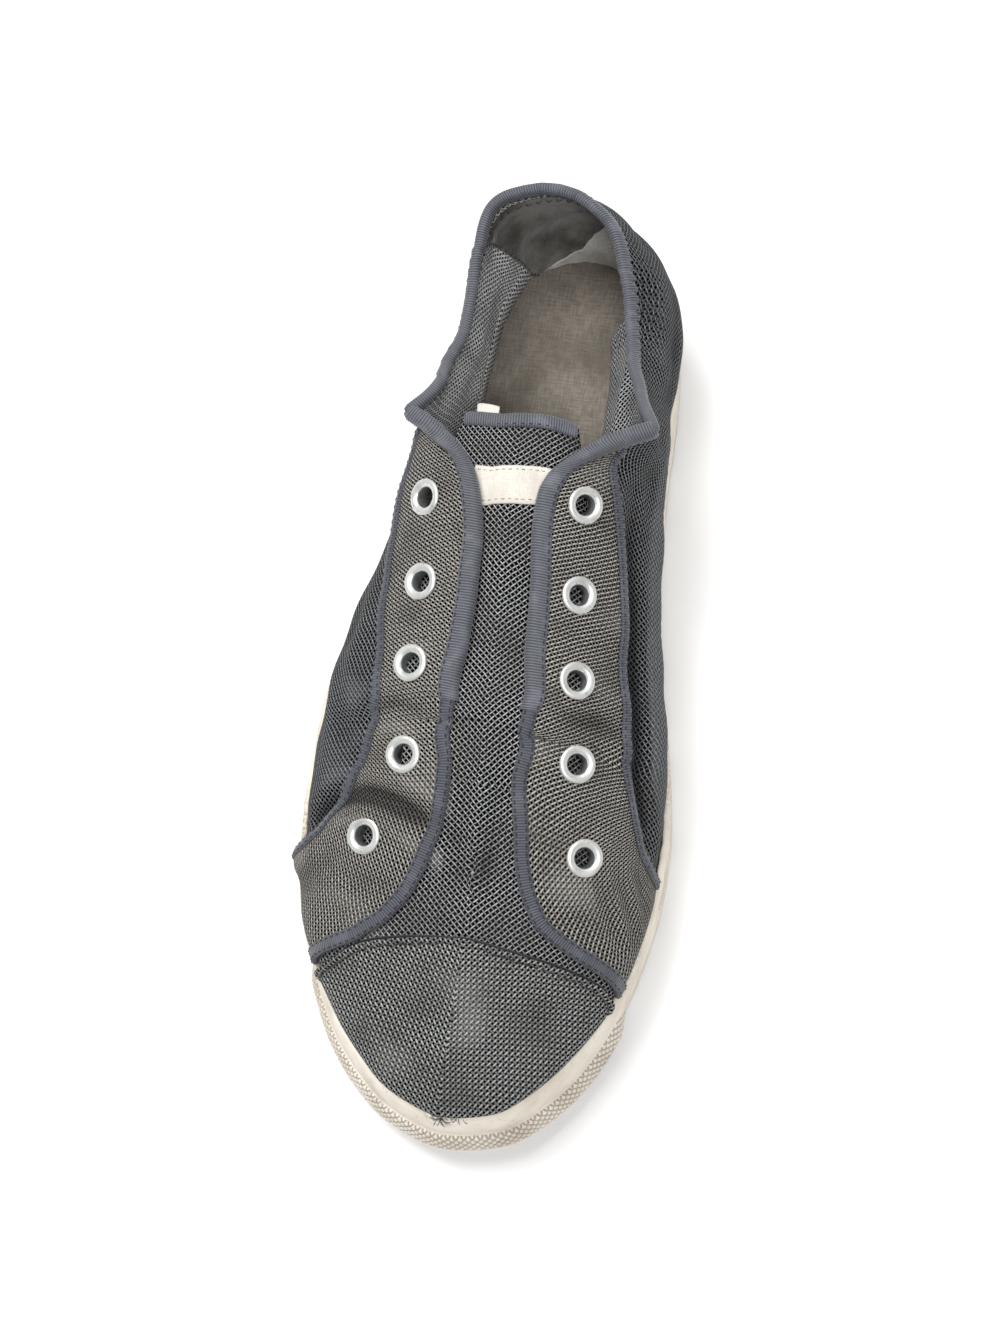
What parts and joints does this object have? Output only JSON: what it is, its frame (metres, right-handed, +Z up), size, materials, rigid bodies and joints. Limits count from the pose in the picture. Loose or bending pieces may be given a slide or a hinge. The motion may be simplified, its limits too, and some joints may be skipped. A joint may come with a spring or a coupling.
{
  "type": "worn out sneaker",
  "caption": "Right low sneaker in worn grey woven cloth with tape edges, metal eyelets, no laces and a rubber sole with a toe bumper.",
  "frame": {"origin": "on the floor, under the middle of the sole's box", "axes": "+X to the inner side of the foot, +Y from the toe to the heel, +Z up"},
  "size_m": [0.1119, 0.29, 0.0832],
  "materials": {
    "rubber_white": "matte, dirty white rubber with brown stains",
    "mesh_grey": "grey woven mesh, worn",
    "eyestay_cloth": "fine tight weave, worn",
    "tape_blue": "ribbed slate blue tape",
    "eyelet_metal": "pale painted, chipped",
    "insole_canvas": "taupe linen, soiled",
    "lining_suede": "brushed, worn",
    "label_white": "woven, bare of text"
  },
  "bodies": {
    "root": {"outsole": "rubber_white", "foxing": "rubber_white", "toe_bumper": "rubber_white", "insole": "insole_canvas", "upper": "mesh_grey", "toe_cap": "mesh_grey", "tongue": "mesh_grey", "eyestay_medial": "eyestay_cloth", "eyestay_lateral": "eyestay_cloth", "eyestay_tape_medial": "tape_blue", "eyestay_tape_lateral": "tape_blue", "throat_binding_medial": "tape_blue", "throat_binding_lateral": "tape_blue", "collar_binding": "tape_blue", "tongue_binding": "tape_blue", "tongue_label": "label_white", "heel_lining": "lining_suede", "eyelet_medial_1": "eyelet_metal", "eyelet_medial_2": "eyelet_metal", "eyelet_medial_3": "eyelet_metal", "eyelet_medial_4": "eyelet_metal", "eyelet_medial_5": "eyelet_metal", "eyelet_lateral_1": "eyelet_metal", "eyelet_lateral_2": "eyelet_metal", "eyelet_lateral_3": "eyelet_metal", "eyelet_lateral_4": "eyelet_metal", "eyelet_lateral_5": "eyelet_metal"}
  },
  "joints": []
}
